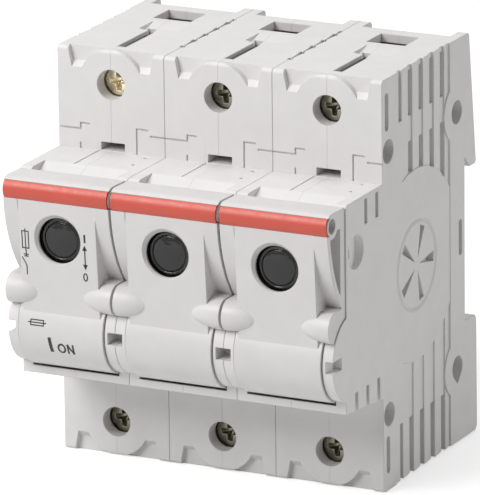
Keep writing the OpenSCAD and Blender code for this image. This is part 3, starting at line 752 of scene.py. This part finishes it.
class DISCONNECTOR_OT_marks(bpy.types.Operator):
    """Prints the switch positions and the fuse and switch symbols on the first cover"""

    bl_idname = "disconnector.marks"
    bl_label = "Print Marks"

    def execute(self, context):
        sizes = context.scene.disconnector_print
        ink = printed_ink("printed ink", context.scene.disconnector_finish.ink_colour)
        low, high, middle = node_box(f"fuse_carrier_{POLES[0]}")
        centre = middle.x
        face = front_face
        lift = sizes.ink_height
        line = sizes.stroke

        def flat(name, bm, x, z):
            lay_on_face(bm, centre + x * MM, z * MM, face, lift)
            finish_mark(name, bm)

        def round_drum(name, bm, x, z):
            slice_rows(bm, 0.25 * MM)
            lay_on_drum(bm, centre + x * MM, z * MM, 10.7 * MM, lift)
            finish_mark(name, bm)

        def finish_mark(name, bm):
            bmesh.ops.recalc_face_normals(bm, faces=bm.faces)
            if sum(f.normal.y for f in bm.faces) > 0:
                bmesh.ops.reverse_faces(bm, faces=bm.faces)
            add_piece(name, bm, "carrier", ink, smooth=False)

        def scaled(points):
            return [tuple(value * MM for value in point) for point in points]

        def segments(*chains):
            return [pair for chain in map(scaled, chains) for pair in zip(chain, chain[1:])]

        def oval(x, z, half_x, half_z):
            return tuple(value * MM for value in (x, z, half_x, half_z))

        flat("print_on_bar", stroke_bmesh(segments([(0, -0.75), (0, 0.75)]), line * 1.8), 6.8, 11.8)
        heads = [scaled([(-0.62, end * 1.65), (0.62, end * 1.65), (0, end * 2.95)]) for end in (-1, 1)]
        flat(
            "print_arrow", stroke_bmesh(segments([(0, -2), (0, 2)]), line * 1.15, solids=heads),
            6.7, 7.3,
        )
        flat("print_off_ring", stroke_bmesh([], line * 1.25, [oval(0, 0, 0.45, 0.85)]), 6.6, 2.65)
        fuse = segments(
            [(-0.8, -2.0), (0.8, -2.0), (0.8, 2.0), (-0.8, 2.0), (-0.8, -2.0)], [(0, -2.5), (0, 2.5)],
        )
        flat("print_fuse_sign", stroke_bmesh(fuse, line), -8.2, 9.9)
        switch = segments(
            [(0, 2.5), (0, 1.05)], [(-0.5, 1.5), (0.5, 1.5)], [(-0.4, 1.05), (0.4, 1.05)],
            [(-1.0, 0.7), (0, -1.1), (0, -3.2)],
        )
        flat("print_switch_sign", stroke_bmesh(switch, line), -8.15, 4.9)
        lying = segments(
            [(-1.6, -0.62), (1.6, -0.62), (1.6, 0.62), (-1.6, 0.62), (-1.6, -0.62)],
            [(-2.15, 0), (2.15, 0)],
        )
        round_drum("print_drum_fuse_sign", stroke_bmesh(lying, line), -5.9, -9.45)
        bar = segments([(0.12, -1.5), (-0.12, 1.5)])
        round_drum("print_drum_bar", stroke_bmesh(bar, line * 3.2), -2.75, -14.4)
        letters = segments([(0.5, -1.05), (0.5, 1.05), (1.8, -1.05), (1.8, 1.05)])
        round_drum(
            "print_drum_on", stroke_bmesh(letters, line * 1.8, [oval(-1.1, 0, 0.84, 1.08)]), 1.1, -14.95,
        )
        return {"FINISHED"}


def front_face(z):
    """Depth of the covers' flat front face at a height, in metres."""
    low_z, low_y = -8.3 * MM, -70.35 * MM
    top_z, top_y = 19.4 * MM, -72.29 * MM
    return low_y + (z - low_z) * (top_y - low_y) / (top_z - low_z)


# -------------------------------------------------------------------------- stage


def seen_rays(tree):
    """1 for rays that show the background: straight, mirrored or through glass."""
    path = tree.nodes.new("ShaderNodeLightPath")
    value = path.outputs["Is Camera Ray"]
    for name in ("Is Glossy Ray", "Is Transmission Ray"):
        either = tree.nodes.new("ShaderNodeMath")
        either.operation = "MAXIMUM"
        tree.links.new(value, either.inputs[0])
        tree.links.new(path.outputs[name], either.inputs[1])
        value = either.outputs["Value"]
    return value


class DISCONNECTOR_OT_stage(bpy.types.Operator):
    """Sets the pale floor, the studio lights and the camera"""

    bl_idname = "disconnector.stage"
    bl_label = "Set Stage"

    def execute(self, context):
        stage = context.scene.disconnector_stage
        scene = context.scene
        scene.view_settings.view_transform = "Standard"
        self.add_floor()
        self.add_world(scene, stage)
        self.add_lights(stage)
        self.add_camera(scene, stage)
        return {"FINISHED"}

    def add_floor(self):
        bm = bmesh.new()
        floor_z = CAD_BOUNDS[0][2] - 0.05 * MM
        reach = 3.0
        corners = [(-reach, -reach), (reach, -reach), (reach, reach), (-reach, reach)]
        bm.faces.new([bm.verts.new((x, y, floor_z)) for x, y in corners])
        mesh = bpy.data.meshes.new("studio_floor")
        bm.to_mesh(mesh)
        bm.free()
        floor = bpy.data.objects.new("studio_floor", mesh)
        bpy.context.scene.collection.objects.link(floor)
        material = bpy.data.materials.new("floor paper")
        material.use_nodes = True
        tree = material.node_tree
        tree.nodes.clear()
        output = tree.nodes.new("ShaderNodeOutputMaterial")
        paper = tree.nodes.new("ShaderNodeBsdfDiffuse")
        paper.inputs["Color"].default_value = (0.8, 0.8, 0.8, 1)
        glow = tree.nodes.new("ShaderNodeEmission")
        glow.inputs["Color"].default_value = (1, 1, 1, 1)
        glow.inputs["Strength"].default_value = 0.5
        both = tree.nodes.new("ShaderNodeAddShader")
        tree.links.new(paper.outputs["BSDF"], both.inputs[0])
        tree.links.new(glow.outputs["Emission"], both.inputs[1])
        mix = tree.nodes.new("ShaderNodeMixShader")
        tree.links.new(seen_rays(tree), mix.inputs["Fac"])
        tree.links.new(paper.outputs["BSDF"], mix.inputs[1])
        tree.links.new(both.outputs["Shader"], mix.inputs[2])
        tree.links.new(mix.outputs["Shader"], output.inputs["Surface"])
        mesh.materials.append(material)

    def add_world(self, scene, stage):
        world = bpy.data.worlds.new("studio room")
        scene.world = world
        world.use_nodes = True
        tree = world.node_tree
        tree.nodes.clear()
        output = tree.nodes.new("ShaderNodeOutputWorld")
        room = tree.nodes.new("ShaderNodeBackground")
        room.inputs["Strength"].default_value = stage.world_light
        seen = tree.nodes.new("ShaderNodeBackground")
        seen.inputs["Strength"].default_value = 1.0
        mix = tree.nodes.new("ShaderNodeMixShader")
        tree.links.new(seen_rays(tree), mix.inputs["Fac"])
        tree.links.new(room.outputs["Background"], mix.inputs[1])
        tree.links.new(seen.outputs["Background"], mix.inputs[2])
        tree.links.new(mix.outputs["Shader"], output.inputs["Surface"])
        for background in (room, seen):
            background.inputs["Color"].default_value = (1, 1, 1, 1)

    def add_lights(self, stage):
        for name, place, size, power in (
            ("key", (-0.42, -0.70, 0.66), 0.6, stage.key_power),
            ("fill", (0.90, 0.28, 0.36), 0.5, stage.fill_power),
            ("top", (-0.1, 0.05, 0.95), 0.6, stage.top_power),
        ):
            data = bpy.data.lights.new(f"{name}_light", "AREA")
            data.shape = "SQUARE"
            data.size = size
            data.energy = power
            lamp = bpy.data.objects.new(f"{name}_light", data)
            bpy.context.scene.collection.objects.link(lamp)
            lamp.location = place
            aim = Vector((0, -0.03, 0)) - Vector(place)
            lamp.rotation_mode = "QUATERNION"
            lamp.rotation_quaternion = aim.to_track_quat("-Z", "Y")

    def add_camera(self, scene, stage):
        a, e, r = stage.azimuth, stage.elevation, stage.roll
        back = Vector((math.sin(a) * math.cos(e), -math.cos(a) * math.cos(e), math.sin(e)))
        level = Vector((math.cos(a), math.sin(a), 0))
        above = back.cross(level)
        right = math.cos(r) * level + math.sin(r) * above
        up = -math.sin(r) * level + math.cos(r) * above
        data = bpy.data.cameras.new("studio_camera")
        data.sensor_width = 36.0
        data.lens = stage.focal_px / 495 * 36.0
        data.clip_start = 0.05
        data.clip_end = 20
        camera = bpy.data.objects.new("studio_camera", data)
        bpy.context.scene.collection.objects.link(camera)
        place = right * stage.aim[0] + up * stage.aim[1] + back * stage.distance
        camera.matrix_world = Matrix(
            (
                (right.x, up.x, back.x, place.x),
                (right.y, up.y, back.y, place.y),
                (right.z, up.z, back.z, place.z),
                (0, 0, 0, 1),
            )
        )
        scene.camera = camera


# -------------------------------------------------------------------------- panel


class DISCONNECTOR_PT_panel(bpy.types.Panel):
    """Lists the operators that dress the disconnector."""

    bl_idname = "DISCONNECTOR_PT_panel"
    bl_label = "Disconnector"
    bl_space_type = "VIEW_3D"
    bl_region_type = "UI"
    bl_category = "Disconnector"

    def draw(self, context):
        for operator in OPERATORS:
            self.layout.operator(operator.bl_idname)
        for group_name, group in GROUPS.items():
            box = self.layout.box()
            for field in group.__annotations__:
                box.prop(getattr(context.scene, group_name), field)


OPERATORS = (
    DISCONNECTOR_OT_mouldings,
    DISCONNECTOR_OT_metalwork,
    DISCONNECTOR_OT_screws,
    DISCONNECTOR_OT_springs,
    DISCONNECTOR_OT_glasses,
    DISCONNECTOR_OT_marks,
    DISCONNECTOR_OT_stage,
)


def register():
    for group_name, group in GROUPS.items():
        bpy.utils.register_class(group)
        setattr(bpy.types.Scene, group_name, PointerProperty(type=group))
    for operator in OPERATORS:
        bpy.utils.register_class(operator)
    bpy.utils.register_class(DISCONNECTOR_PT_panel)


def unregister():
    bpy.utils.unregister_class(DISCONNECTOR_PT_panel)
    for operator in reversed(OPERATORS):
        bpy.utils.unregister_class(operator)
    for group_name, group in reversed(GROUPS.items()):
        delattr(bpy.types.Scene, group_name)
        bpy.utils.unregister_class(group)


def main():
    register()
    bpy.ops.disconnector.mouldings()
    bpy.ops.disconnector.metalwork()
    bpy.ops.disconnector.screws()
    bpy.ops.disconnector.springs()
    bpy.ops.disconnector.glasses()
    bpy.ops.disconnector.marks()
    bpy.ops.disconnector.stage()


if __name__ == "__main__":
    main()
